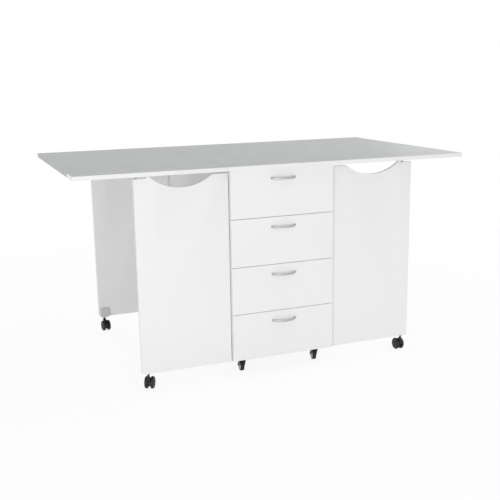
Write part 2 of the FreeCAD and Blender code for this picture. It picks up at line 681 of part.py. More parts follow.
def fork():
    """The swivel fork of a cabinet castor with its riveted axle."""
    body = new_body("castor_fork")
    legs = sketch_on(body, "fork_side", "XZ_Plane")
    across, chord = "0.94 * fork_eye", "wheel_radius - 0.34 * fork_eye"
    outline(legs, (
        ("-fork_head + 8", "fork_head_low + 2.5"), ("fork_trail - " + across, chord, "-fork_eye"),
        ("fork_trail + " + across, chord), ("fork_head + 2", "fork_head_low + 2.5")))
    pad(body, legs, "fork_width", both_ways=True)
    inside = sketch_on(body, "fork_inside", "XZ_Plane")
    outline(inside, (("-2 * fork_head", "0"), ("3 * fork_head", "0"),
                     ("3 * fork_head", "fork_head_low"), ("-2 * fork_head", "fork_head_low")))
    pocket(body, inside, "fork_width - 2 * fork_sheet", both_ways=True)
    head = sketch_on(body, "fork_head_section", "XZ_Plane")
    outline(head, (("0", "fork_head_low"), ("fork_head", "fork_head_low"),
                   ("fork_head", "fork_head_low + 2.5"), ("fork_head - 3", "fork_head_high"),
                   ("0", "fork_head_high")))
    turn(body, head)
    eye = sketch_on(body, "fork_eye_hole", "XZ_Plane")
    circle(eye, ("fork_trail", AXLE_HEIGHT), "axle_radius")
    pocket(body, eye, "fork_width + 2", both_ways=True)
    bore = sketch_on(body, "fork_bore", "XY_Plane", "fork_head_low - 1")
    circle(bore, ("0", "0"), "king_radius + pin_play")
    pocket(body, bore, "fork_head_high - fork_head_low + 2", backwards=True)
    axle = headed_pin("fork_axle", "axle_radius", "axle_radius + 2", "fork_width",
                      "fork_trail", "-fork_width / 2", AXLE_HEIGHT, "y")
    return together("castor_fork_set", body, axle)


def fork_wheel():
    """The wheel of a cabinet castor: a moulded core and its tyre."""
    half = "tyre_width / 2"
    tyre = wheel_body("tyre", (
        ("tyre_seat", "-" + half), ("wheel_radius - tyre_shoulder", "-" + half, "-tyre_shoulder"),
        ("wheel_radius", "tyre_shoulder - " + half),
        ("wheel_radius", half + " - tyre_shoulder", "-tyre_shoulder"),
        ("wheel_radius - tyre_shoulder", half), ("tyre_seat", half)))
    hub, web = "(fork_width / 2 - fork_sheet - 1)", "core_web / 2"
    bore = "axle_radius + pin_play"
    core = wheel_body("wheel_core", (
        (bore, "-" + hub), ("core_hub", "-" + hub), ("core_hub", "-" + web),
        ("tyre_seat - 3", "-" + web), ("tyre_seat - 2", "-" + half), ("tyre_seat", "-" + half),
        ("tyre_seat", half), ("tyre_seat - 2", half), ("tyre_seat - 3", web),
        ("core_hub", web), ("core_hub", hub), (bore, hub)))
    return place(together("fork_wheel_set", tyre, core), "fork_trail", "0", AXLE_HEIGHT)


def castor_plate():
    """The top plate of a cabinet castor and the king pin riveted into it."""
    body = new_body("top_plate")
    plan = sketch_on(body, "top_plate_plan", "XY_Plane", "cabinet_clearance - plate_sheet")
    half = "plate_width / 2"
    outline(plan, (("-" + half, "-" + half), (half, "-" + half), (half, half), ("-" + half, half)))
    pad(body, plan, "plate_sheet")
    round_edges(body, "plate_corner", lambda edge, middle: along_axis(edge, 2))
    low = "fork_head_low - 0.2"
    shank = rod("king_shank", "king_radius", "cabinet_clearance - plate_sheet - (%s)" % low, z=low)
    pin = fused("king_pin", shank, rod("king_head", "king_radius + 2.5", "2", z=low + " - 2"))
    return together("castor_plate_set", body, pin)


def turned(label, source, x, y, angle="0"):
    """Name a copy of a castor part, standing at a place and turned about its pivot."""
    piece = node(label, source)
    piece.Placement = Placement(Vector(), Rotation(Vector(0, 0, 1), float(angle)))
    return place(piece, x, y)


def castors():
    """A twin-wheel castor under each gate and a fork castor under each corner of the cabinet."""
    housing, pair, swivel, wheel, plate = twin_housing(), twin_wheels(), fork(), fork_wheel(), castor_plate()
    plates = []
    for end, facing in ENDS:
        for side, toward in SIDES:
            corner = "%s_%s" % (end, side)
            x, y = "%d * (%s)" % (toward, STEM_X), "%d * (%s)" % (facing, STEM_Y)
            turned("gate_castor_" + corner, housing, x, y, GATE_CASTOR_TURN[corner])
            turned("gate_wheels_" + corner, pair, x, y, GATE_CASTOR_TURN[corner])
            x, y = "%d * castor_side" % toward, "%d * castor_reach" % facing
            turned("cabinet_castor_" + corner, swivel, x, y, CABINET_CASTOR_TURN[corner])
            turned("cabinet_wheel_" + corner, wheel, x, y, CABINET_CASTOR_TURN[corner])
            plates.append(place(together("castor_plate_" + corner, plate), x, y))
    node("cabinet_castor_plates", *plates)


# ---------------------------------------------------------------- drawers

FACE = "(cabinet_depth / 2 + front_seat + board)"
BOX_FRONT = "-(cabinet_depth / 2 + front_seat)"
BOX_BACK = "(box_depth - cabinet_depth / 2 - front_seat)"
BOX_OUT = "(cabinet_width / 2 - board - runner_space)"
BOX_IN = "(cabinet_width / 2 - board - runner_space - box_wall)"
RUNNER_TOP = "(box_lift + runner_height - 2)"


def drawer_front():
    """A drawer front, its lower edge at height 0."""
    body = new_body("drawer_board")
    side = sketch_on(body, "drawer_face", "XZ_Plane", FACE)
    half = "front_width / 2"
    outline(side, (("-" + half, "0"), (half, "0"), (half, "front_height"), ("-" + half, "front_height")))
    pad(body, side, "board", backwards=True)
    return body


def drawer_box():
    """Two grooved sides, a back and the bottom panel that slides into the grooves."""
    top = "box_lift + box_height"
    floor = ("box_lift + box_floor_lift", "box_lift + box_floor_lift + box_floor")
    run = (BOX_FRONT, BOX_BACK)
    tongue = BOX_IN + " + box_floor"
    groove = block("box_groove", (BOX_IN + " - 1", tongue), (BOX_FRONT + " - 1", BOX_BACK + " + 1"), floor)
    right = cut("box_side", block("box_side_board", (BOX_IN, BOX_OUT), run, ("box_lift", top)), groove)
    left = mirrored("box_side_mirror", right, Vector(1, 0, 0))
    back = block("box_back", ("-" + BOX_IN, BOX_IN), (BOX_BACK + " - box_wall", BOX_BACK), (floor[1], top))
    bottom = block("box_bottom", ("-(%s)" % tongue, tongue), run, floor)
    return together("drawer_box_set", right, left, back, bottom)


def handle():
    """A bow handle: a strip that leaves the front in a shallow arch, thickest at its middle."""
    body = new_body("bow_handle")
    plan = sketch_on(body, "bow_plan", "XY_Plane", "front_height - handle_drop")
    outer, inner = "(handle_centres / 2 + handle_foot / 2)", "(handle_centres / 2 - handle_foot / 2)"
    rise = "(handle_reach - handle_thickness)"
    outer_bow = "((%s^2 + handle_reach^2) / (2 * handle_reach))" % outer
    inner_bow = "((%s^2 + %s^2) / (2 * %s))" % (inner, rise, rise)
    face = "-" + FACE
    outline(plan, (("-" + outer, face, "-" + outer_bow), (outer, face),
                   (inner, face, inner_bow), ("-" + inner, face)))
    pad(body, plan, "handle_width", both_ways=True)
    round_edges(body, "handle_round", lambda edge, middle: edge.Curve.TypeId == "Part::GeomCircle")
    return body


def runner_rail(name, points):
    """A rail of bent steel that runs the length of the drawer box."""
    body = new_body(name)
    section = sketch_on(body, name + "_section", "XZ_Plane", "-(%s)" % BOX_FRONT)
    outline(section, points)
    pad(body, section, "box_depth", backwards=True)
    return body


def runners():
    """The moving and the fixed half of a drawer's two runners, for a front at height 0."""
    skin, low = "runner_sheet", "box_lift"
    moving = runner_rail("drawer_rail", (
        (BOX_IN, low + " - " + skin), (BOX_OUT + " + " + skin, low + " - " + skin),
        (BOX_OUT + " + " + skin, RUNNER_TOP + " - " + skin), (BOX_OUT + " + 9", RUNNER_TOP + " - " + skin),
        (BOX_OUT + " + 9", RUNNER_TOP), (BOX_OUT, RUNNER_TOP), (BOX_OUT, low), (BOX_IN, low)))
    fixed = runner_rail("cabinet_rail", (
        (BOX_OUT + " + 2.5", low + " - " + skin), (SIDE_IN, low + " - " + skin), (SIDE_IN, RUNNER_TOP),
        (SIDE_IN + " - " + skin, RUNNER_TOP), (SIDE_IN + " - " + skin, low), (BOX_OUT + " + 2.5", low)))
    moving_roller = rod("drawer_roller", "roller_radius", "roller_width", BOX_OUT + " + " + skin,
                        BOX_BACK + " - 2 * roller_radius", low + " + runner_play + roller_radius", along="x")
    fixed_roller = rod("cabinet_roller", "roller_radius", "roller_width + 2",
                       SIDE_IN + " - " + skin + " - roller_width - 2", BOX_FRONT + " + 2 * roller_radius",
                       "%s - %s - runner_play - roller_radius" % (RUNNER_TOP, skin), along="x")
    sets = []
    for name, parts in (("moving_runner", (moving, moving_roller)), ("fixed_runner", (fixed, fixed_roller))):
        right = together(name, *parts)
        sets.append(together(name + "_pair", right, mirrored(name + "_mirror", right, Vector(1, 0, 0))))
    return sets


def drawers():
    """Four equal drawers, the first at the top."""
    moving, fixed = runners()
    pieces = (("front", drawer_front()), ("box", drawer_box()), ("handle", handle()), ("runners", moving))
    rails = []
    for number in range(DRAWERS):
        height = "lowest_front + %d * (front_height + front_gap)" % (DRAWERS - 1 - number)
        for name, source in pieces:
            place(node("drawer_%d_%s" % (number + 1, name), source), z=height)
        rails.append(place(together("cabinet_rails_%d" % (number + 1), fixed), z=height))
    node("cabinet_runners", *rails)


def build():
    """Make every sub-part."""
    fill_sheet()
    side_panels()
    carcass()
    centre_top()
    leaves()
    leaf_hinges()
    gate_stops()
    gates()
    castors()
    drawers()


def write_parts():
    """Check every object, then write one file for each named sub-part."""
    doc.recompute()
    for item in doc.Objects:
        if "Invalid" in item.State or "Error" in item.State:
            raise RuntimeError("%s: %s" % (item.Name, item.State))
    for piece in NODES:
        if piece.Shape.isNull() or not piece.Shape.isValid() or not piece.Shape.Solids:
            raise RuntimeError("%s has no sound solid" % piece.Label)
    os.makedirs("parts", exist_ok=True)
    for piece in NODES:
        piece.Shape.exportStep(os.path.join("parts", piece.Label + ".step"))
        box = piece.Shape.BoundBox
        extent = (box.XMin, box.XMax, box.YMin, box.YMax, box.ZMin, box.ZMax)
        print("%-28s %d solids" % (piece.Label, len(piece.Shape.Solids)),
              "X %.1f..%.1f  Y %.1f..%.1f  Z %.1f..%.1f" % extent)


build()
write_parts()
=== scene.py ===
"""Dresses the folding cutting table: boards, edge bands, castors, hinges, handles and studio."""
import json
import logging
import math
from dataclasses import dataclass, field
from enum import Enum

import bmesh
import bpy
from mathutils import Matrix, Vector


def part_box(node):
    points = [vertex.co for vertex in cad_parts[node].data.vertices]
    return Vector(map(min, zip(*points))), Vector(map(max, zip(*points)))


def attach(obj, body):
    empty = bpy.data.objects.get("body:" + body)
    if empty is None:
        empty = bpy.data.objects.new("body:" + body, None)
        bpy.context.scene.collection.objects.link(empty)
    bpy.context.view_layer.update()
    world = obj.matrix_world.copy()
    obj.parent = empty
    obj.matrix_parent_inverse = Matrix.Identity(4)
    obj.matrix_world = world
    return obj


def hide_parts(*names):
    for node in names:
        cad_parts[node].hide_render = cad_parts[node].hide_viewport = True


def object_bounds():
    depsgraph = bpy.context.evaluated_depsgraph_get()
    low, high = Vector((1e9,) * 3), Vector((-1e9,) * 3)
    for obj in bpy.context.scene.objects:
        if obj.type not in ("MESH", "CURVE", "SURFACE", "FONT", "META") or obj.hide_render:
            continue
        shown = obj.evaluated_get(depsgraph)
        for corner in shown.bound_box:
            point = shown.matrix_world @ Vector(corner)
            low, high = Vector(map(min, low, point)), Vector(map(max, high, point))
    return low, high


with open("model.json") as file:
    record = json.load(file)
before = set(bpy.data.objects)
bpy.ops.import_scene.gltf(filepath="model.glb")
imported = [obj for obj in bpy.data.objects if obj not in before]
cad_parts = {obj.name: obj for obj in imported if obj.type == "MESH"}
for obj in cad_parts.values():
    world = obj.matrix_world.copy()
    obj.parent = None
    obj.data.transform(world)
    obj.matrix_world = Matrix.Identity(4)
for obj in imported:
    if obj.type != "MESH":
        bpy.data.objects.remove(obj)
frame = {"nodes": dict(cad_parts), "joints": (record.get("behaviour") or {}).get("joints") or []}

CAD_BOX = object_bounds()
LOG = logging.getLogger("cutting_table")

# Lengths are in millimetres, and MM turns them into Blender's metres.
MM = 0.001
TOP_HALF = Vector(CAD_BOX[1]).xy / MM
TOP_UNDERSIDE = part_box("centre_top")[0].z / MM

# Points nearer to each other than this, in metres, are merged.
MERGE = 1e-5

# Angles between faces: small enough to join them, large enough to ease and to round their edge.
FLAT_ANGLE = math.radians(1)
CREASE_ANGLE = math.radians(25)
CORNER_ANGLE = math.radians(40)

# A face whose normal has a larger share along an axis looks along it.
FLAT_NORMAL = 0.99

# Facets round a wheel, a neck, a rod and a shaft.
ROUND_STEPS = 64
NECK_STEPS = 48
ROD_STEPS = 32
SHAFT_STEPS = 24

FULL_TURN = 2 * math.pi
HALF_TURN = math.pi
QUARTER_TURN = math.pi / 2
DOWN = Vector((0, 0, -1))

SIDES = ("left", "right")
ENDS = ("front", "rear")
DRAWERS = range(1, 5)


class Axis(Enum):
    """The axis that a board's thickness or a round part's centre line runs along."""

    X = 0
    Y = 1
    Z = 2


# ---------------------------------------------------------------- finishes

# Where a noise texture's values mostly lie, and the colour sockets of a Mix node.
NOISE_MIDDLE = (0.3, 0.7)
MIX_FIRST, MIX_SECOND, MIX_RESULT = 6, 7, 2


class Nodes:
    """A small helper that lays out one material's node tree."""

    def __init__(self, name: str) -> None:
        """Start a material with an empty tree, an output and a Principled shader.

        Args:
            name: The material's name.
        """
        self.material = bpy.data.materials.new(name)
        self.material.use_nodes = True
        self.tree = self.material.node_tree
        self.tree.nodes.clear()
        self.output = self.add("ShaderNodeOutputMaterial")
        self.shader = self.add("ShaderNodeBsdfPrincipled")
        self.join(self.shader, "BSDF", self.output, "Surface")
        self.place = self.add("ShaderNodeTexCoord")

    def add(self, kind: str, **values: object) -> bpy.types.Node:
        """Add a node and set its plain properties.

        Args:
            kind: Blender's name of the node's type.
            values: Properties of the node.

        Returns:
            The new node.
        """
        node = self.tree.nodes.new(kind)
        for key, item in values.items():
            setattr(node, key, item)
        return node

    def join(self, source: bpy.types.Node, out: str, target: bpy.types.Node, into: str | int) -> None:
        """Link an output of one node to an input of another."""
        self.tree.links.new(source.outputs[out], target.inputs[into])

    def stretched(self, scale: tuple[float, float, float]) -> bpy.types.Node:
        """Object coordinates scaled along each axis, for streaks and brushing."""
        mapping = self.add("ShaderNodeMapping")
        mapping.inputs["Scale"].default_value = scale
        self.join(self.place, "Object", mapping, "Vector")
        return mapping

    def noise(self, scale: float, detail: float, source: bpy.types.Node | None = None) -> bpy.types.Node:
        """A noise texture on object coordinates.

        Args:
            scale: Features per metre.
            detail: Octaves.
            source: A mapping node to read, or None for plain object coordinates.

        Returns:
            The noise node.
        """
        noise = self.add("ShaderNodeTexNoise")
        noise.inputs["Scale"].default_value = scale
        noise.inputs["Detail"].default_value = detail
        self.join(source or self.place, "Vector" if source else "Object", noise, "Vector")
        return noise

    def ramp(self, source: bpy.types.Node, low: tuple, high: tuple,
             ends: tuple[float, float]) -> bpy.types.Node:
        """Turn a texture's value into a colour between two others.

        Args:
            source: The texture node.
            low: Colour at the low end.
            high: Colour at the high end.
            ends: Where the low and the high end lie on the texture's value.

        Returns:
            The colour ramp node.
        """
        ramp = self.add("ShaderNodeValToRGB")
        ramp.color_ramp.elements[0].position, ramp.color_ramp.elements[1].position = ends
        ramp.color_ramp.elements[0].color = (*low, 1)
        ramp.color_ramp.elements[1].color = (*high, 1)
        self.join(source, "Fac", ramp, "Fac")
        return ramp

    def spread(self, source: bpy.types.Node, low: float, high: float) -> bpy.types.Node:
        """Map a texture's middle range to a range of numbers."""
        spread = self.add("ShaderNodeMapRange")
        spread.inputs["From Min"].default_value, spread.inputs["From Max"].default_value = NOISE_MIDDLE
        spread.inputs["To Min"].default_value = low
        spread.inputs["To Max"].default_value = high
        self.join(source, "Fac", spread, "Value")
        return spread

    def bump(self, source: bpy.types.Node, depth: float, strength: float) -> None:
        """Raise the surface by a texture.

        Args:
            source: The texture node.
            depth: Height of the relief in metres.
            strength: Share of it that shows.
        """
        bump = self.add("ShaderNodeBump")
        bump.inputs["Distance"].default_value = depth
        bump.inputs["Strength"].default_value = strength
        self.join(source, "Fac", bump, "Height")
        self.join(bump, "Normal", self.shader, "Normal")


@dataclass(frozen=True)
class BoardFinish:
    """A melamine or laminate face: faint clouding, a fine pearled relief and a soft sheen."""

    name: str
    colour: tuple[float, float, float]
    cloud: float = 0.985
    speck: float = 1.0
    speck_scale: float = 420.0
    roughness: tuple[float, float] = (0.42, 0.52)
    grain_scale: float = 1500.0
    grain_depth: float = 0.00003
    grain_share: float = 0.35
    cloud_scale: float = 3.0
    cloud_ends: tuple[float, float] = (0.35, 0.65)
    speck_ends: tuple[float, float] = (0.40, 0.52)
    wear_scale: float = 14.0
    ior: float = 1.45

    def make(self) -> bpy.types.Material:
        """Build the material."""
        nodes = Nodes(self.name)
        cloud = nodes.noise(self.cloud_scale, 3.0)
        darker = tuple(part * self.cloud for part in self.colour)
        base = nodes.ramp(cloud, darker, self.colour, self.cloud_ends)
        speck = nodes.noise(self.speck_scale, 2.0)
        flecks = nodes.ramp(speck, (self.speck,) * 3, (1, 1, 1), self.speck_ends)
        mix = nodes.add("ShaderNodeMix", data_type="RGBA", blend_type="MULTIPLY")
        mix.inputs["Factor"].default_value = 1.0
        nodes.join(base, "Color", mix, MIX_FIRST)
        nodes.join(flecks, "Color", mix, MIX_SECOND)
        nodes.tree.links.new(mix.outputs[MIX_RESULT], nodes.shader.inputs["Base Color"])
        wear = nodes.noise(self.wear_scale, 4.0)
        nodes.join(nodes.spread(wear, *self.roughness), "Result", nodes.shader, "Roughness")
        nodes.shader.inputs["IOR"].default_value = self.ior
        nodes.bump(nodes.noise(self.grain_scale, 2.0), self.grain_depth, self.grain_share)
        return nodes.material


@dataclass(frozen=True)
class MetalFinish:
    """Metal with fine streaks along one axis and uneven gloss."""

    name: str
    colour: tuple[float, float, float]
    roughness: tuple[float, float]
    streaks: tuple[float, float, float] = (60.0, 900.0, 900.0)
    relief: float = 0.00001
    relief_share: float = 0.3
    metallic: float = 1.0
    dullness: float = 0.86

    def make(self) -> bpy.types.Material:
        """Build the material."""
        nodes = Nodes(self.name)
        brushed = nodes.noise(1.0, 3.0, nodes.stretched(self.streaks))
        dull = tuple(part * self.dullness for part in self.colour)
        tint = nodes.ramp(brushed, dull, self.colour, NOISE_MIDDLE)
        nodes.join(tint, "Color", nodes.shader, "Base Color")
        nodes.shader.inputs["Metallic"].default_value = self.metallic
        nodes.join(nodes.spread(brushed, *self.roughness), "Result", nodes.shader, "Roughness")
        nodes.bump(brushed, self.relief, self.relief_share)
        return nodes.material


@dataclass(frozen=True)
class MouldedFinish:
    """Moulded plastic or rubber: a fine spark-eroded grain, dust and handling marks."""

    name: str
    colour: tuple[float, float, float]
    dust: tuple[float, float, float]
    roughness: tuple[float, float]
    gloss: float = 0.5
    grain_scale: float = 2200.0
    grain_depth: float = 0.00004
    grain_share: float = 0.4
    mark_scale: float = 90.0
    mark_ends: tuple[float, float] = (0.45, 0.8)

    def make(self) -> bpy.types.Material:
        """Build the material."""
        nodes = Nodes(self.name)
        nodes.shader.inputs["Specular IOR Level"].default_value = self.gloss
        marks = nodes.noise(self.mark_scale, 5.0)
        tint = nodes.ramp(marks, self.colour, self.dust, self.mark_ends)
        nodes.join(tint, "Color", nodes.shader, "Base Color")
        nodes.join(nodes.spread(marks, *self.roughness), "Result", nodes.shader, "Roughness")
        nodes.bump(nodes.noise(self.grain_scale, 2.0), self.grain_depth, self.grain_share)
        return nodes.material


class Finishes:
    """Every finish on the table, made once."""

    def __init__(self) -> None:
        """Make the materials."""
        white = (0.875, 0.88, 0.878)
        self.board = BoardFinish("white_melamine", white).make()
        self.band = BoardFinish("white_edge_band", (0.86, 0.865, 0.86), roughness=(0.30, 0.40),
                                grain_scale=700.0, grain_depth=0.00002).make()
        self.top = BoardFinish("grey_laminate", (0.495, 0.517, 0.509), speck=0.972,
                               roughness=(0.46, 0.58), grain_scale=1100.0, grain_depth=0.00005).make()
        self.inside = BoardFinish("drawer_melamine", (0.80, 0.80, 0.79)).make()
        self.block = BoardFinish("block_melamine", (0.60, 0.60, 0.59), cloud=0.94).make()
        self.zinc = MetalFinish("zinc_plate", (0.70, 0.71, 0.73), (0.28, 0.42),
                                (200.0, 200.0, 500.0)).make()
        self.nickel = MetalFinish("brushed_nickel", (0.50, 0.495, 0.49), (0.40, 0.52)).make()
        self.powder = MetalFinish("white_powder_coat", (0.82, 0.82, 0.82), (0.35, 0.5),
                                  (500.0, 500.0, 500.0), metallic=0.0).make()
        self.black_steel = MetalFinish("black_steel", (0.014, 0.015, 0.015), (0.32, 0.44),
                                       (400.0, 400.0, 400.0), metallic=0.0).make()
        self.nylon = MouldedFinish("black_nylon", (0.009, 0.010, 0.010), (0.022, 0.024, 0.023),
                                   (0.34, 0.48), gloss=0.32).make()
        self.rubber = MouldedFinish("black_rubber", (0.010, 0.011, 0.011), (0.032, 0.032, 0.031),
                                    (0.55, 0.75), gloss=0.30).make()
        self.grey_plastic = MouldedFinish("grey_plastic", (0.40, 0.41, 0.41), (0.46, 0.46, 0.46),
                                          (0.35, 0.5)).make()
        self.core = MouldedFinish("pale_wheel_core", (0.62, 0.63, 0.62), (0.55, 0.55, 0.54),
                                  (0.35, 0.5)).make()


# ---------------------------------------------------------------- mesh tools


def finished(bm: bmesh.types.BMesh, name: str, body: str, nodes: list[str],
             materials: list[bpy.types.Material]) -> bpy.types.Object:
    """Turn a bmesh into a piece that rides on a body and stands for nodes of the frame.

    Args:
        bm: The modelled mesh, in metres in the table's frame; it is freed.
        name: The piece's name.
        body: The body that it rides on.
        nodes: Nodes of the frame that it replaces.
        materials: Its materials, in the order of its faces' indices.

    Returns:
        The new object.
    """
    for face in bm.faces:
        face.smooth = True
    mesh = bpy.data.meshes.new(name)
    bm.to_mesh(mesh)
    bm.free()
    mesh.set_sharp_from_angle(angle=CREASE_ANGLE)
    for material in materials:
        mesh.materials.append(material)
    piece = bpy.data.objects.new(name, mesh)
    bpy.context.scene.collection.objects.link(piece)
    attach(piece, body)
    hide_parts(*nodes)
    LOG.info("%s rides on %s", name, body)
    return piece


def merged_copy(node: str) -> bmesh.types.BMesh:
    """A node's mesh with its doubles merged and its flat faces whole again."""
    bm = bmesh.new()
    bm.from_mesh(frame["nodes"][node].data)
    bmesh.ops.remove_doubles(bm, verts=bm.verts, dist=MERGE)
    bmesh.ops.dissolve_limit(bm, angle_limit=FLAT_ANGLE, verts=bm.verts, edges=bm.edges)
    return bm


def ease_edges(bm: bmesh.types.BMesh, radius: float, segments: int = 2) -> None:
    """Round every sharp edge a little.

    Args:
        bm: The mesh.
        radius: Width of the rounding in metres.
        segments: Facets across it.
    """
    sharp = [edge for edge in bm.edges if edge.is_manifold and edge.calc_face_angle() > CREASE_ANGLE]
    bmesh.ops.bevel(bm, geom=sharp, offset=radius, segments=segments, profile=0.5,
                    affect="EDGES", material=-1, clamp_overlap=True)


def turned(points: list[tuple[float, float]], steps: int = ROUND_STEPS,
           axis: Axis = Axis.Y) -> bmesh.types.BMesh:
    """Turn a closed half section about an axis through the origin.

    Args:
        points: Radius and place along the axis of each corner, in millimetres.
        steps: Facets round the axis.
        axis: The axis of the turn.

    Returns:
        The turned mesh, in metres.
    """
    bm = bmesh.new()
    corners = []
    for radius, along in points:
        spot = {Axis.X: (along, radius, 0), Axis.Y: (radius, along, 0), Axis.Z: (radius, 0, along)}[axis]
        corners.append(bm.verts.new(Vector(spot) * MM))
    for number, first in enumerate(corners):
        follower = (number + 1) % len(corners)
        if points[number][0] > 0 or points[follower][0] > 0:
            bm.edges.new((first, corners[follower]))
    line = [0.0, 0.0, 0.0]
    line[axis.value] = 1.0
    bmesh.ops.spin(bm, geom=bm.verts[:] + bm.edges[:], cent=(0, 0, 0), axis=line, angle=FULL_TURN,
                   steps=steps, use_merge=True)
    bmesh.ops.remove_doubles(bm, verts=bm.verts, dist=MERGE / 10)
    bmesh.ops.dissolve_degenerate(bm, edges=bm.edges, dist=MERGE / 10)
    bmesh.ops.recalc_face_normals(bm, faces=bm.faces)
    return bm


def slab(size: tuple[float, float, float], centre: Vector, radius: float) -> bmesh.types.BMesh:
    """A block with eased edges.

    Args:
        size: Lengths along X, Y and Z in metres.
        centre: Its middle.
        radius: Rounding of its edges in metres.

    Returns:
        The mesh.
    """
    bm = bmesh.new()
    bmesh.ops.create_cube(bm, size=1.0)
    bmesh.ops.scale(bm, vec=size, verts=bm.verts)
    bmesh.ops.translate(bm, vec=centre, verts=bm.verts)
    ease_edges(bm, radius)
    return bm


def add_to(target: bmesh.types.BMesh, extra: bmesh.types.BMesh, where: Matrix | None = None,
           material: int = 0) -> None:
    """Add one mesh to another; the extra mesh is freed.

    Args:
        target: The mesh that grows.
        extra: The mesh to add.
        where: Its placement, or None to leave it where it is.
        material: The material index of its faces.
    """
    for face in extra.faces:
        face.material_index = material
    if where is not None:
        bmesh.ops.transform(extra, matrix=where, verts=extra.verts)
    carrier = bpy.data.meshes.new("carrier")
    extra.to_mesh(carrier)
    extra.free()
    target.from_mesh(carrier)
    bpy.data.meshes.remove(carrier)


def joint(name: str) -> dict:
    """A joint of the frame by its name."""
    return next(item for item in frame["joints"] if item["name"] == name)


def spot_mm(x: float, y: float, z: float) -> Vector:
    """A point given in millimetres, in metres."""
    return Vector((x * MM, y * MM, z * MM))


# ---------------------------------------------------------------- screws


@dataclass
class Screw:
    """A countersunk screw head with a cross recess, flush with what it holds; in millimetres."""

    radius: float = 3.4
    rise: float = 0.35
    depth: float = 0.8
    taper: float = 0.9
    steps: int = 20
    recess: float = 0.9
    arm: float = 2.1
    arm_width: float = 0.7
    template: bpy.types.Mesh = field(init=False)

    def __post_init__(self) -> None:
        """Cut the recess into one head, which every screw copies."""
        head = turned([(0.0, -self.depth), (self.radius - self.taper, -self.depth), (self.radius, -0.1),
                       (self.radius * 0.8, self.rise * 0.6), (0.0, self.rise)], self.steps, Axis.Z)
        cross = bmesh.new()
        for along, across in ((self.arm * 2, self.arm_width), (self.arm_width, self.arm * 2)):
            size = (along, across, 2 * self.recess)
            bar = bmesh.new()
            bmesh.ops.create_cube(bar, size=1.0)
            bmesh.ops.scale(bar, vec=Vector(size) * MM, verts=bar.verts)
            bmesh.ops.translate(bar, vec=(0, 0, self.rise * MM), verts=bar.verts)
            add_to(cross, bar)
        holders = []
        for name, bm in (("screw_head", head), ("screw_cross", cross)):
            mesh = bpy.data.meshes.new(name)
            bm.to_mesh(mesh)
            bm.free()
            holder = bpy.data.objects.new(name, mesh)
            bpy.context.scene.collection.objects.link(holder)
            holders.append(holder)
        cutter = holders[0].modifiers.new("recess", "BOOLEAN")
        cutter.operation = "DIFFERENCE"
        cutter.solver = "EXACT"
        cutter.use_self = True
        cutter.object = holders[1]
        depsgraph = bpy.context.evaluated_depsgraph_get()
        self.template = bpy.data.meshes.new_from_object(holders[0].evaluated_get(depsgraph))
        for holder in holders:
            bpy.data.objects.remove(holder)

    def into(self, target: bmesh.types.BMesh, spot: Vector, out: Vector, scale: float = 1.0,
             material: int = 0) -> None:
        """Add a head to a mesh.

        Args:
            target: The mesh that gets the screw.
            spot: The middle of the head, on the surface.
            out: The direction that the head faces.
            scale: Size beside the template.
            material: Material index of the head.
        """
        head = bmesh.new()
        head.from_mesh(self.template)
        turn = out.to_track_quat("Z", "X").to_matrix().to_4x4()
        add_to(target, head, Matrix.Translation(spot) @ turn @ Matrix.Scale(scale, 4), material)


# ---------------------------------------------------------------- boards


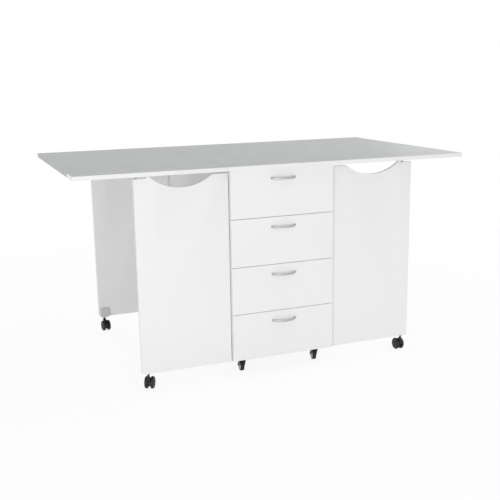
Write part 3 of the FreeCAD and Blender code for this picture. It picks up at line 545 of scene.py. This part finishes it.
@dataclass
class Boards:
    """Every flat board of the table, with eased edges and banded edge faces.

    Lengths are in millimetres. The frame's top has the radius solid_corner at its outer corners, and
    the shown top the radius corner.
    """

    finishes: Finishes
    easing: float = 0.8
    top_easing: float = 0.5
    solid_corner: float = 40.0
    on_arc: float = 0.01
    corner: float = 5.0
    band_joint: float = -340.0
    eased_normal: float = 0.3
    front_swell: float = 0.7

    def board(self, node: str, body: str, slot: str, thickness: Axis, face: bpy.types.Material,
              band: bpy.types.Material, swell: float = 0.0) -> bpy.types.Object:
        """Dress one board.

        Args:
            node: The node that it stands for.
            body: The body that it rides on.
            slot: The record's slot; not used.
            thickness: The axis across the board.
            face: Material of its two large faces.
            band: Material of its edges.
            swell: How far its band stands out above and below, in millimetres.

        Returns:
            The board.
        """
        bm = merged_copy(node)
        middle = sum(vert.co.z for vert in bm.verts) / len(bm.verts)
        for vert in bm.verts:
            vert.co.z += math.copysign(swell * MM, vert.co.z - middle)
        ease_edges(bm, self.easing * MM)
        for item in bm.faces:
            item.material_index = 0 if abs(item.normal[thickness.value]) > FLAT_NORMAL else 1
        return finished(bm, "board_" + node, body, [node], [face, band])

    def tighten_corners(self, bm: bmesh.types.BMesh) -> None:
        """Draw the table's outer corners out to a small radius.

        Args:
            bm: The mesh of a board of the top.
        """
        wide, narrow = Vector((self.solid_corner,) * 2), Vector((self.corner,) * 2)
        for vert in bm.verts:
            out = Vector([abs(part) / MM for part in vert.co.xy]) - TOP_HALF + wide
            if min(out) > -self.on_arc and abs(out.length - self.solid_corner) < self.on_arc:
                spot = TOP_HALF - narrow + out.normalized() * self.corner
                vert.co.x = math.copysign(min(spot.x, TOP_HALF.x) * MM, vert.co.x)
                vert.co.y = math.copysign(min(spot.y, TOP_HALF.y) * MM, vert.co.y)

    def top_board(self, node: str, body: str) -> bpy.types.Object:
        """Dress one board of the top: laminate above and over its eased edge, a white backing below.

        The laminate also covers the table's two short ends, from the front band's joint to the rear
        corner.

        Args:
            node: The node that it stands for.
            body: The body that it rides on.

        Returns:
            The board.
        """
        bm = merged_copy(node)
        self.tighten_corners(bm)
        bm.normal_update()
        ease_edges(bm, self.top_easing * MM)
        table_end, rear = TOP_HALF.x - self.corner, TOP_HALF.y - 1
        ends = [item for item in bm.faces if abs(item.calc_center_median().x) > table_end * MM]
        around = {part for item in ends for part in (item, *item.edges, *item.verts)}
        bmesh.ops.bisect_plane(bm, geom=list(around), plane_co=(0, self.band_joint * MM, 0),
                               plane_no=(0, 1, 0))
        for item in bm.faces:
            middle = item.calc_center_median() / MM
            end = abs(middle.x) > table_end and self.band_joint < middle.y < rear
            covered = item.normal.z > self.eased_normal or end
            item.material_index = 2 if item.normal.z < -FLAT_NORMAL else 0 if covered else 1
        return finished(bm, "board_" + node, body, [node],
                        [self.finishes.top, self.finishes.band, self.finishes.board])

    def build(self) -> None:
        """Dress the carcass, the top, the gates and the drawers."""
        white, band, inside = self.finishes.board, self.finishes.band, self.finishes.inside
        for side in SIDES:
            self.board("side_panel_" + side, "cabinet", "white_board", Axis.X, white, band)
            self.top_board("leaf_" + side, side + "_leaf")
            for end in ENDS:
                corner = "%s_%s" % (end, side)
                self.board("gate_" + corner, corner + "_gate", "white_board", Axis.Y, white, band)
        self.top_board("centre_top", "cabinet")
        self.board("bottom_panel", "cabinet", "white_board", Axis.Z, white, band)
        self.board("back_panel", "cabinet", "white_board", Axis.Y, white, band)
        self.board("top_rails", "cabinet", "white_board", Axis.Z, white, band)
        for number in DRAWERS:
            drawer = "drawer_%d" % number
            self.board(drawer + "_front", drawer, "white_board", Axis.Y, white, band, self.front_swell)
            self.board(drawer + "_box", drawer, "drawer_board", Axis.X, inside, inside)


# ---------------------------------------------------------------- handles


@dataclass
class BowHandle:
    """A bow handle: a satin strip that leaves two round feet in a shallow arch.

    Lengths are in millimetres. The arch is a circle's stretch with a squarish oval section, swept a
    little past its feet and cut off flat there.
    """

    finishes: Finishes
    centres: float = 96.0
    reach: float = 28.5
    thickness: float = 4.2
    width: float = 8.0
    foot: float = 4.6
    foot_height: float = 1.8
    spread: float = 2.0
    overrun: float = 0.12
    squareness: float = 3.0
    section_steps: int = 24
    steps: int = 40

    def bow(self) -> bmesh.types.BMesh:
        """The arch, with its feet on Y = 0 and its crown towards -Y."""
        half = self.centres / 2 + self.spread
        rise = self.reach - self.thickness / 2
        radius = (half * half + rise * rise) / (2 * rise)
        sweep = 2 * math.asin(half / radius) + self.overrun
        power = self.squareness
        bm = bmesh.new()
        bmesh.ops.create_circle(bm, cap_ends=False, segments=self.section_steps, radius=1.0)
        for vert in bm.verts:
            vert.co *= (abs(vert.co.x) ** power + abs(vert.co.y) ** power) ** (-1 / power)
        bmesh.ops.scale(bm, vec=(self.thickness / 2, self.width / 2, 1), verts=bm.verts)
        bmesh.ops.rotate(bm, cent=(0, 0, 0), matrix=Matrix.Rotation(QUARTER_TURN, 3, "X"), verts=bm.verts)
        bmesh.ops.translate(bm, vec=(radius, 0, 0), verts=bm.verts)
        start = -QUARTER_TURN - sweep / 2
        bmesh.ops.rotate(bm, cent=(0, 0, 0), matrix=Matrix.Rotation(start, 3, "Z"), verts=bm.verts)
        bmesh.ops.spin(bm, geom=bm.verts[:] + bm.edges[:], cent=(0, 0, 0), axis=(0, 0, 1), angle=sweep,
                       steps=self.steps)
        bmesh.ops.translate(bm, vec=(0, radius - rise, 0), verts=bm.verts)
        bmesh.ops.holes_fill(bm, edges=[edge for edge in bm.edges if edge.is_boundary])
        cut = bmesh.ops.bisect_plane(bm, geom=bm.verts[:] + bm.edges[:] + bm.faces[:], plane_co=(0, 0, 0),
                                     plane_no=(0, 1, 0), clear_outer=True)
        rims = [item for item in cut["geom_cut"] if isinstance(item, bmesh.types.BMEdge)]
        bmesh.ops.holes_fill(bm, edges=rims)
        bmesh.ops.recalc_face_normals(bm, faces=bm.faces)
        bmesh.ops.scale(bm, vec=(MM, MM, MM), verts=bm.verts)
        return bm

    def build(self, number: int) -> bpy.types.Object:
        """Fit the handle of one drawer.

        Args:
            number: The drawer, from 1 at the top.

        Returns:
            The handle.
        """
        node = "drawer_%d_handle" % number
        low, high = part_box(node)
        bm = self.bow()
        tip = -self.foot_height
        for side in (-1, 1):
            foot = turned([(0.0, 0.0), (self.foot, 0.0), (self.foot, tip + 0.6), (self.foot - 0.5, tip),
                           (0.0, tip)], ROD_STEPS)
            add_to(bm, foot, Matrix.Translation(spot_mm(side * self.centres / 2, 0, 0)))
        bmesh.ops.translate(bm, vec=(0, high.y, (low.z + high.z) / 2), verts=bm.verts)
        return finished(bm, "bow_handle_%d" % number, "drawer_%d" % number, [node],
                        [self.finishes.nickel])


# ---------------------------------------------------------------- castors


@dataclass
class TwinCastor:
    """A twin-wheel castor on a stem, under the outer end of a gate.

    Lengths are in millimetres and angles in degrees. The boss is its reach from the stem's axis and
    the heights of its foot and its top.
    """

    finishes: Finishes
    wheel: float = 24.0
    trail: float = 17.0
    inner: float = 6.1
    outer: float = 17.5
    web: float = 10.4
    web_radius: float = 16.0
    web_steps: int = 48
    web_span: tuple[float, float] = (80.0, -110.0)
    boss: tuple[float, float, float] = (6.0, 30.0, 48.0)
    boss_rounding: float = 2.2
    easing: float = 0.8
    shaft: float = 3.0

    def housing(self) -> bmesh.types.BMesh:
        """The web between the wheels: a round plate behind a boss for the stem, at the stem."""
        reach, low, high = self.boss
        outline = [(-reach, low), (-reach, high), (reach, high)]
        start, end = self.web_span
        for step in range(self.web_steps + 1):
            angle = math.radians(start - (start - end) * step / self.web_steps)
            outline.append((self.trail + self.web_radius * math.cos(angle),
                            self.wheel + self.web_radius * math.sin(angle)))
        bm = bmesh.new()
        plate = bm.faces.new([bm.verts.new(Vector((x, -self.web / 2, z)) * MM) for x, z in outline])
        grown = bmesh.ops.extrude_face_region(bm, geom=[plate])
        moved = [item for item in grown["geom"] if isinstance(item, bmesh.types.BMVert)]
        bmesh.ops.translate(bm, vec=(0, self.web * MM, 0), verts=moved)
        bmesh.ops.recalc_face_normals(bm, faces=bm.faces)
        corners = [edge for edge in bm.edges if edge.calc_face_angle() > CORNER_ANGLE
                   and abs(edge.verts[0].co.y - edge.verts[1].co.y) > self.web / 2 * MM]
        bmesh.ops.bevel(bm, geom=corners, offset=self.boss_rounding * MM, segments=4, profile=0.5,
                        affect="EDGES", material=-1, clamp_overlap=True)
        ease_edges(bm, self.easing * MM)
        return bm

    def wheel_shape(self) -> bmesh.types.BMesh:
        """One wheel: a round-shouldered tread, a recessed disc, a raised ring and the axle's cap."""
        rim, inner, outer = self.wheel, self.inner, self.outer
        return turned([(self.shaft, inner), (rim - 2.6, inner), (rim - 1.0, inner + 0.5),
                       (rim - 0.2, inner + 1.7), (rim, inner + 3.2), (rim, outer - 5.4),
                       (rim - 0.35, outer - 3.6), (rim - 1.3, outer - 1.9), (rim - 2.8, outer - 0.6),
                       (rim - 4.6, outer), (rim - 6.2, outer), (rim - 6.8, outer - 0.5),
                       (rim - 7.2, outer - 1.5), (12.6, outer - 1.7), (12.2, outer - 1.1),
                       (11.4, outer - 1.1), (11.0, outer - 1.7), (7.4, outer - 1.5), (6.8, outer - 0.6),
                       (5.6, outer - 0.1), (0.0, outer), (0.0, inner)])

    def neck(self) -> bmesh.types.BMesh:
        """The collar between the web and the stem, about the stem."""
        return turned([(0.0, 43.0), (5.0, 43.0), (5.6, 44.6), (7.6, 48.2), (8.0, 49.2), (8.0, 51.3),
                       (7.3, 52.0), (0.0, 52.0)], NECK_STEPS, Axis.Z)

    def stem(self) -> bmesh.types.BMesh:
        """The steel stem with its collar, about its own axis."""
        return turned([(0.0, 50.0), (4.0, 50.0), (4.0, 60.5), (4.9, 60.5), (4.9, 62.6), (4.0, 62.6),
                       (4.0, 97.0), (3.2, 97.5), (0.0, 97.5)], ROD_STEPS, Axis.Z)

    def build(self, corner: str) -> None:
        """Fit the castor of one gate.

        Args:
            corner: Such as front_left.
        """
        swivel = joint(corner + "_gate_castor_swivel")
        spin = joint(corner + "_gate_wheels_spin")
        axle = Vector(spin["pos_m"])
        pivot = Vector((swivel["pos_m"][0], swivel["pos_m"][1], 0))
        trail = Vector((axle.x - pivot.x, axle.y - pivot.y, 0))
        heading = trail.to_track_quat("X", "Z").to_matrix().to_4x4()
        at_axle, at_stem = Matrix.Translation(axle) @ heading, Matrix.Translation(pivot) @ heading
        body = bmesh.new()
        add_to(body, self.housing(), at_stem)
        add_to(body, self.neck(), at_stem)
        add_to(body, self.stem(), at_stem, 1)
        finished(body, "twin_castor_housing_" + corner, corner + "_gate_castor",
                 ["gate_castor_" + corner], [self.finishes.nylon, self.finishes.black_steel])
        wheels = bmesh.new()
        for turn in (0, HALF_TURN):
            add_to(wheels, self.wheel_shape(), at_axle @ Matrix.Rotation(turn, 4, "Z"))
        shaft = turned([(0.0, -self.inner), (self.shaft, -self.inner), (self.shaft, self.inner),
                        (0.0, self.inner)], SHAFT_STEPS)
        add_to(wheels, shaft, at_axle, 1)
        finished(wheels, "twin_castor_wheels_" + corner, corner + "_gate_wheels",
                 ["gate_wheels_" + corner], [self.finishes.nylon, self.finishes.zinc])


@dataclass
class ForkCastor:
    """A plate castor under a corner of the cabinet: a steel fork and a wheel with a pale core.

    Lengths are in millimetres.
    """

    finishes: Finishes
    screw: Screw
    wheel: float = 25.0
    half: float = 8.0
    ribs: int = 6
    rib: tuple[float, float, float] = (11.4, 13.4, 1.6)
    rib_middle: float = 12.4
    nut: float = 5.0
    nut_height: float = 2.6
    nut_middle: float = 14.8
    easing: float = 0.5
    small_easing: float = 0.3
    screw_spot: float = 22.0
    plate_underside: float = 62.0
    screw_scale: float = 1.1

    def build(self, corner: str) -> None:
        """Fit the castor of one corner.

        Args:
            corner: Such as front_left.
        """
        spin = joint(corner + "_wheel_spin")
        axle = Vector(spin["pos_m"])
        heading = Vector(spin["axis"]).to_track_quat("Y", "Z").to_matrix().to_4x4()
        at_axle = Matrix.Translation(axle) @ heading
        node = "cabinet_castor_" + corner
        fork = merged_copy(node)
        ease_edges(fork, self.easing * MM)
        turn = Matrix.Rotation(QUARTER_TURN, 4, "X")
        for side in (-1, 1):
            nut = bmesh.new()
            bmesh.ops.create_cone(nut, cap_ends=True, segments=6, radius1=self.nut * MM,
                                  radius2=self.nut * MM, depth=self.nut_height * MM)
            ease_edges(nut, self.small_easing * MM)
            beside = Matrix.Translation(spot_mm(0, side * self.nut_middle, 0))
            add_to(fork, nut, at_axle @ beside @ turn, 1)
        finished(fork, "castor_fork_" + corner, corner + "_castor", [node],
                 [self.finishes.black_steel, self.finishes.zinc])
        self.rolling(corner, at_axle)

    def rolling(self, corner: str, at_axle: Matrix) -> None:
        """Fit the wheel: a round-shouldered tyre on a ribbed core.

        Args:
            corner: Such as front_left.
            at_axle: The place and heading of the axle.
        """
        rim, half = self.wheel, self.half
        tyre = turned([(21.4, -half + 0.5), (21.8, -half), (rim - 2.7, -half), (rim - 1.3, -half + 0.6),
                       (rim - 0.35, -half + 2.1), (rim, -half + 4.2), (rim, half - 4.2),
                       (rim - 0.35, half - 2.1), (rim - 1.3, half - 0.6), (rim - 2.7, half), (21.8, half),
                       (21.4, half - 0.5)])
        core = turned([(3.1, -9.4), (6.4, -9.4), (6.9, -8.9), (7.1, -6.0), (17.4, -5.6), (18.4, -6.7),
                       (19.2, -7.3), (21.5, -7.3), (21.5, 7.3), (19.2, 7.3), (18.4, 6.7), (17.4, 5.6),
                       (7.1, 6.0), (6.9, 8.9), (6.4, 9.4), (3.1, 9.4)])
        for number in range(self.ribs):
            rib = slab(tuple(part * MM for part in self.rib), spot_mm(self.rib_middle, 0, 0),
                       self.small_easing * MM)
            add_to(core, rib, Matrix.Rotation(FULL_TURN * number / self.ribs, 4, "Y"))
        whole = bmesh.new()
        add_to(whole, tyre, at_axle, 0)
        add_to(whole, core, at_axle, 1)
        finished(whole, "castor_wheel_" + corner, corner + "_wheel",
                 ["cabinet_wheel_" + corner], [self.finishes.rubber, self.finishes.core])

    def plates(self) -> None:
        """Fit the four top plates, each held by four screws."""
        bm = merged_copy("cabinet_castor_plates")
        ease_edges(bm, self.easing * MM)
        for end in ENDS:
            for side in SIDES:
                pivot = Vector(joint("%s_%s_castor_swivel" % (end, side))["pos_m"])
                for along in (-self.screw_spot, self.screw_spot):
                    for across in (-self.screw_spot, self.screw_spot):
                        spot = Vector((pivot.x, pivot.y, 0)) + spot_mm(along, across, self.plate_underside)
                        self.screw.into(bm, spot, DOWN, self.screw_scale, 1)
        finished(bm, "castor_plates", "cabinet", ["cabinet_castor_plates"],
                 [self.finishes.black_steel, self.finishes.zinc])


# ---------------------------------------------------------------- small parts


@dataclass
class Ironmongery:
    """Hinges with their screws, castor blocks, gate stops and the drawers' runners.

    Lengths are in millimetres; a hinge's face is the plane that its screws' heads lie in.
    """

    finishes: Finishes
    screw: Screw
    leaf_easing: float = 0.2
    leaf_rows: tuple[float, ...] = (-330.0, 0.0, 330.0)
    leaf_screw_spot: float = 20.0
    leaf_screw_lines: tuple[float, float] = (250.0, 222.5)
    leaf_fixed_scale: float = 0.9
    gate_easing: float = 0.15
    gate_rows: tuple[float, ...] = (126.0, 748.0)
    gate_screw_spots: tuple[float, float] = (13.0, 20.0)
    gate_moving_face: tuple[float, float] = (231.0, 393.9)
    gate_fixed_face: tuple[float, float] = (216.6, 380.0)
    gate_screw_scale: float = 0.7
    block_easing: float = 0.6
    socket_radius: float = 8.0
    stop_reach: tuple[float, float] = (572.0, 532.0)
    stop_spot: float = 416.0

    def hinges(self) -> None:
        """Ease the hinges' steel and put screws in their plates."""
        zinc = [self.finishes.zinc]
        gate_fixed = merged_copy("gate_hinge_fixed_leaves")
        ease_edges(gate_fixed, self.gate_easing * MM, 1)
        leaf_fixed = merged_copy("leaf_hinge_fixed_plates")
        ease_edges(leaf_fixed, self.leaf_easing * MM, 1)
        for side, toward in zip(SIDES, (-1, 1)):
            plates = merged_copy("leaf_hinge_plates_" + side)
            ease_edges(plates, self.leaf_easing * MM, 1)
            self.leaf_screws(plates, leaf_fixed, toward)
            finished(plates, "leaf_hinges_" + side, side + "_leaf",
                     ["leaf_hinge_plates_" + side], zinc)
            for end, facing in zip(ENDS, (-1, 1)):
                corner = "%s_%s" % (end, side)
                leaves = merged_copy("gate_hinge_leaves_" + corner)
                ease_edges(leaves, self.gate_easing * MM, 1)
                self.gate_screws(leaves, gate_fixed, toward, facing)
                finished(leaves, "gate_hinges_" + corner, corner + "_gate",
                         ["gate_hinge_leaves_" + corner], zinc)
        finished(gate_fixed, "gate_hinges_fixed", "cabinet",
                 ["gate_hinge_fixed_leaves"], zinc)
        finished(leaf_fixed, "leaf_hinges_fixed", "cabinet",
                 ["leaf_hinge_fixed_plates"], zinc)

    def leaf_screws(self, moving: bmesh.types.BMesh, fixed: bmesh.types.BMesh, toward: int) -> None:
        """Put the screws in one leaf's hinges.

        Args:
            moving: The leaf's plates.
            fixed: The centre board's plates.
            toward: -1 on the left, 1 on the right.
        """
        outer, inner = self.leaf_screw_lines
        for row in self.leaf_rows:
            for along in (row - self.leaf_screw_spot, row + self.leaf_screw_spot):
                self.screw.into(moving, spot_mm(toward * outer, along, TOP_UNDERSIDE), DOWN)
                self.screw.into(fixed, spot_mm(toward * inner, along, TOP_UNDERSIDE), DOWN,
                                self.leaf_fixed_scale)

    def gate_screws(self, moving: bmesh.types.BMesh, fixed: bmesh.types.BMesh, toward: int,
                    facing: int) -> None:
        """Put the screws in one gate's hinges.

        Args:
            moving: The gate's leaves.
            fixed: The cabinet's leaves.
            toward: -1 on the left, 1 on the right.
            facing: -1 at the front, 1 at the rear.
        """
        (moving_x, moving_y), (fixed_x, fixed_y) = self.gate_moving_face, self.gate_fixed_face
        near, far = self.gate_screw_spots
        for row in self.gate_rows:
            for up in (-1, 1):
                spot = spot_mm(toward * moving_x, facing * moving_y, row + near * up)
                self.screw.into(moving, spot, Vector((0, -facing, 0)), self.gate_screw_scale)
                spot = spot_mm(toward * fixed_x, facing * fixed_y, row + far * up)
                self.screw.into(fixed, spot, Vector((toward, 0, 0)), self.gate_screw_scale)

    def castor_block(self, corner: str) -> None:
        """Fit the block behind a gate castor's stem, and the flange of the stem's socket.

        Args:
            corner: Such as front_left.
        """
        node = "gate_block_" + corner
        bm = merged_copy(node)
        ease_edges(bm, self.block_easing * MM)
        pivot = Vector(joint(corner + "_gate_castor_swivel")["pos_m"])
        for item in bm.faces:
            away = (item.calc_center_median() - pivot).xy.length
            item.material_index = 1 if away < self.socket_radius * MM else 0
        finished(bm, "castor_block_" + corner, corner + "_gate", [node],
                 [self.finishes.block, self.finishes.nylon])

    def stops(self, side: str) -> None:
        """Turn the two pegs under a leaf.

        Args:
            side: left or right.
        """
        toward = -1 if side == "left" else 1
        far, near = self.stop_reach
        bm = bmesh.new()
        for facing in (-1, 1):
            reach = far if toward * facing > 0 else near
            peg = turned([(0.0, 0.0), (4.0, 0.0), (4.0, -11.0), (3.5, -11.7), (2.9, -12.0), (1.5, -12.0),
                          (1.5, -10.0), (0.0, -10.0)], ROD_STEPS, Axis.Z)
            spot = spot_mm(toward * reach, facing * self.stop_spot, TOP_UNDERSIDE)
            add_to(bm, peg, Matrix.Translation(spot))
        finished(bm, "gate_stop_pegs_" + side, side + "_leaf", ["gate_stops_" + side],
                 [self.finishes.grey_plastic])

    def runners(self) -> None:
        """Give the steel runners their powder coat; their shape stays the frame's."""
        for node in ["cabinet_runners"] + ["drawer_%d_runners" % number for number in DRAWERS]:
            piece = frame["nodes"][node]
            for slot in piece.material_slots:
                slot.material = self.finishes.powder

    def build(self) -> None:
        """Fit all the small parts."""
        self.hinges()
        for side in SIDES:
            self.stops(side)
            for end in ENDS:
                self.castor_block("%s_%s" % (end, side))
        self.runners()


# ---------------------------------------------------------------- studio


def seen_rays(tree: bpy.types.NodeTree) -> bpy.types.NodeSocket:
    """Tell what is looked at from what gives light.

    Args:
        tree: The tree of the surround or the floor.

    Returns:
        A socket that is 1 for rays from the camera, from gloss and through glass, and 0 for light.
    """
    path = tree.nodes.new("ShaderNodeLightPath")
    seen = path.outputs["Is Camera Ray"]
    for name in ("Is Glossy Ray", "Is Transmission Ray"):
        larger = tree.nodes.new("ShaderNodeMath")
        larger.operation = "MAXIMUM"
        tree.links.new(seen, larger.inputs[0])
        tree.links.new(path.outputs[name], larger.inputs[1])
        seen = larger.outputs[0]
    return seen


@dataclass(frozen=True)
class Lamp:
    """A soft round lamp: its place and size in metres, and its power in watts."""

    name: str
    place: tuple[float, float, float]
    size: float
    power: float


@dataclass
class Studio:
    """Camera, lamps, floor and world.

    Angles are in degrees and places in metres.
    """

    eye: tuple[float, float, float] = (-1.2468, -3.2244, 1.1851)
    yaw: float = 21.569
    pitch: float = -12.648
    roll: float = -0.882
    lens: float = 58.07
    sensor: float = 36.0
    view_limit: float = 50.0
    lamp_aim: tuple[float, float, float] = (0.0, 0.0, 0.5)
    sky: float = 0.73
    floor_tone: float = 0.90
    floor_glow: float = 0.90
    floor_radius: float = 14.0
    floor_steps: int = 96
    floor_fade: tuple[float, float] = (1.2, 3.2)
    lamps: tuple[Lamp, ...] = (
        Lamp("key", (-3.1, -4.15, 0.55), 1.0, 51.0),
        Lamp("front", (0.8, -4.7, 0.45), 2.4, 15.0),
        Lamp("top", (2.8, 0.0, 3.0), 2.6, 18.0),
        Lamp("back", (4.2, 3.6, 1.6), 2.0, 16.0),
    )

    def camera(self) -> None:
        """Stand the camera in front of the table, a little to its left."""
        yaw, pitch, roll = (math.radians(angle) for angle in (self.yaw, self.pitch, self.roll))
        ahead = Vector((math.sin(yaw) * math.cos(pitch), math.cos(yaw) * math.cos(pitch), math.sin(pitch)))
        right = ahead.cross(-DOWN).normalized()
        upward = right.cross(ahead)
        tilted_right = right * math.cos(roll) + upward * math.sin(roll)
        tilted_up = upward * math.cos(roll) - right * math.sin(roll)
        turn = Matrix((tilted_right, tilted_up, -ahead)).transposed().to_4x4()
        data = bpy.data.cameras.new("camera")
        data.lens = self.lens
        data.sensor_width = self.sensor
        data.clip_end = self.view_limit
        camera = bpy.data.objects.new("camera", data)
        camera.matrix_world = Matrix.Translation(self.eye) @ turn
        bpy.context.scene.collection.objects.link(camera)
        bpy.context.scene.camera = camera

    def light(self) -> None:
        """Hang the soft lamps, each aimed at the middle of the table."""
        for lamp in self.lamps:
            data = bpy.data.lights.new(lamp.name, "AREA")
            data.shape = "DISK"
            data.size = lamp.size
            data.energy = lamp.power
            hung = bpy.data.objects.new(lamp.name, data)
            ahead = Vector(self.lamp_aim) - Vector(lamp.place)
            turn = ahead.to_track_quat("-Z", "Y").to_matrix().to_4x4()
            hung.matrix_world = Matrix.Translation(lamp.place) @ turn
            bpy.context.scene.collection.objects.link(hung)

    def world(self) -> None:
        """A white surround: plain white to the camera and to gloss, softer as light."""
        world = bpy.data.worlds.new("surround")
        bpy.context.scene.world = world
        world.use_nodes = True
        tree = world.node_tree
        tree.nodes.clear()
        light, white = tree.nodes.new("ShaderNodeBackground"), tree.nodes.new("ShaderNodeBackground")
        light.inputs["Color"].default_value = (1, 1, 1, 1)
        light.inputs["Strength"].default_value = self.sky
        white.inputs["Color"].default_value = (1, 1, 1, 1)
        white.inputs["Strength"].default_value = 1.0
        mix, output = tree.nodes.new("ShaderNodeMixShader"), tree.nodes.new("ShaderNodeOutputWorld")
        tree.links.new(seen_rays(tree), mix.inputs["Fac"])
        tree.links.new(light.outputs[0], mix.inputs[1])
        tree.links.new(white.outputs[0], mix.inputs[2])
        tree.links.new(mix.outputs[0], output.inputs["Surface"])

    def floor(self) -> None:
        """A white floor that keeps a faint shadow of the table and fades into the surround."""
        bm = bmesh.new()
        bmesh.ops.create_circle(bm, cap_ends=True, segments=self.floor_steps, radius=self.floor_radius)
        mesh = bpy.data.meshes.new("floor")
        bm.to_mesh(mesh)
        bm.free()
        nodes = Nodes("floor_white")
        nodes.tree.nodes.remove(nodes.shader)
        seen = seen_rays(nodes.tree)
        tone = nodes.add("ShaderNodeMapRange")
        tone.inputs["To Min"].default_value = self.floor_tone
        tone.inputs["To Max"].default_value = 1.0
        nodes.tree.links.new(seen, tone.inputs["Value"])
        diffuse = nodes.add("ShaderNodeBsdfDiffuse")
        nodes.join(tone, "Result", diffuse, "Color")
        glow = nodes.add("ShaderNodeEmission")
        far = nodes.add("ShaderNodeVectorMath", operation="LENGTH")
        nodes.join(nodes.place, "Object", far, 0)
        fade = nodes.add("ShaderNodeMapRange", interpolation_type="SMOOTHSTEP")
        fade.inputs["From Min"].default_value, fade.inputs["From Max"].default_value = self.floor_fade
        fade.inputs["To Min"].default_value = self.floor_glow
        fade.inputs["To Max"].default_value = 1.0
        nodes.join(far, "Value", fade, "Value")
        share = nodes.add("ShaderNodeMath", operation="MULTIPLY")
        nodes.tree.links.new(seen, share.inputs[0])
        nodes.join(fade, "Result", share, 1)
        mix = nodes.add("ShaderNodeMixShader")
        nodes.join(share, "Value", mix, "Fac")
        nodes.join(diffuse, "BSDF", mix, 1)
        nodes.join(glow, "Emission", mix, 2)
        nodes.join(mix, "Shader", nodes.output, "Surface")
        mesh.materials.append(nodes.material)
        floor = bpy.data.objects.new("floor", mesh)
        bpy.context.scene.collection.objects.link(floor)

    def build(self) -> None:
        """Set up the view."""
        bpy.context.scene.view_settings.view_transform = "Standard"
        self.camera()
        self.light()
        self.world()
        self.floor()


def main() -> None:
    """Build the table's looks and the studio."""
    logging.basicConfig(level=logging.INFO, format="%(name)s: %(message)s")
    finishes, screw = Finishes(), Screw()
    Studio().build()
    Boards(finishes).build()
    handle = BowHandle(finishes)
    for number in DRAWERS:
        handle.build(number)
    twin, fork = TwinCastor(finishes), ForkCastor(finishes, screw)
    for end in ENDS:
        for side in SIDES:
            twin.build("%s_%s" % (end, side))
            fork.build("%s_%s" % (end, side))
    fork.plates()
    Ironmongery(finishes, screw).build()


if __name__ == "__main__":
    main()
